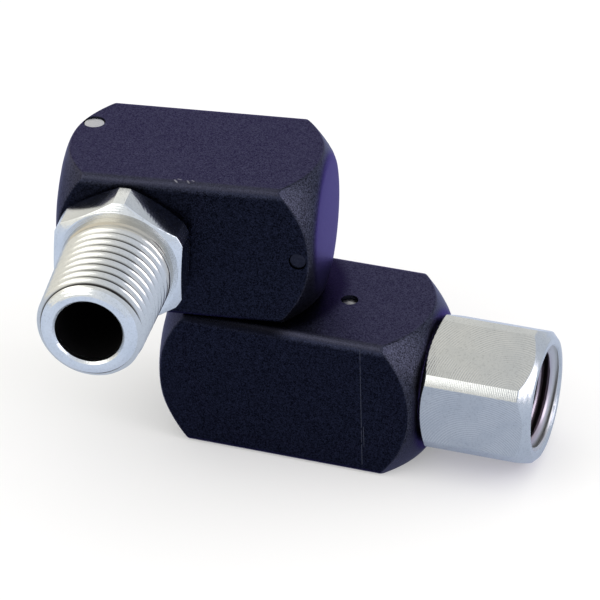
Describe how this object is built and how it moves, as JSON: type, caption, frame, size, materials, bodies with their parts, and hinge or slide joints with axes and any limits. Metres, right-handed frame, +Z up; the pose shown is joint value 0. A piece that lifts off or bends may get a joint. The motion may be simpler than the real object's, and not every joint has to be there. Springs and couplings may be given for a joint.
{
  "type": "swivel fitting",
  "caption": "Air-line swivel: two stacked black aluminium bars on a vertical pivot, a turning male threaded stud and a hexagonal female threaded socket.",
  "frame": {"origin": "on the vertical pivot axis, at the flat underside of the lower bar", "axes": "+Z up along the pivot axis; +X along the lower bar, out of the female socket; the male stud points to -Y, turned 8.1 degrees about +Z with the upper bar as it lies"},
  "size_m": [0.0627, 0.0431, 0.0384],
  "materials": {
    "bars": "black anodised, satin, slight violet cast",
    "plated_steel": "bright plated, turned and milled",
    "pin_steel": "ground ends",
    "seal": "smooth black rubber",
    "washer": "black low-friction plastic",
    "plug": "ground"
  },
  "bodies": {
    "lower_bar": {"lower_block": "bars", "outlet_socket": "plated_steel", "socket_pin": "pin_steel", "socket_o_ring": "seal", "pivot_spool": "plated_steel", "pivot_o_ring_lower": "seal", "pivot_o_ring_upper": "seal", "pivot_washer": "washer"},
    "upper_bar": {"upper_block": "bars", "pivot_pin": "pin_steel", "stud_pin": "pin_steel", "stud_washer": "washer", "passage_plug": "plug"},
    "stud": {"inlet_stud": "plated_steel", "stud_o_ring_outer": "seal", "stud_o_ring_inner": "seal"}
  },
  "joints": [
    {"name": "pivot_swivel", "type": "hinge", "parent": "lower_bar", "child": "upper_bar", "pos_m": [0, 0, 0.0193], "axis": [0, 0, 1], "continuous": true},
    {"name": "stud_swivel", "type": "hinge", "parent": "upper_bar", "child": "stud", "pos_m": [-0.01249, -0.0114, 0.02882], "axis": [0.1409, -0.99, 0], "continuous": true}
  ]
}
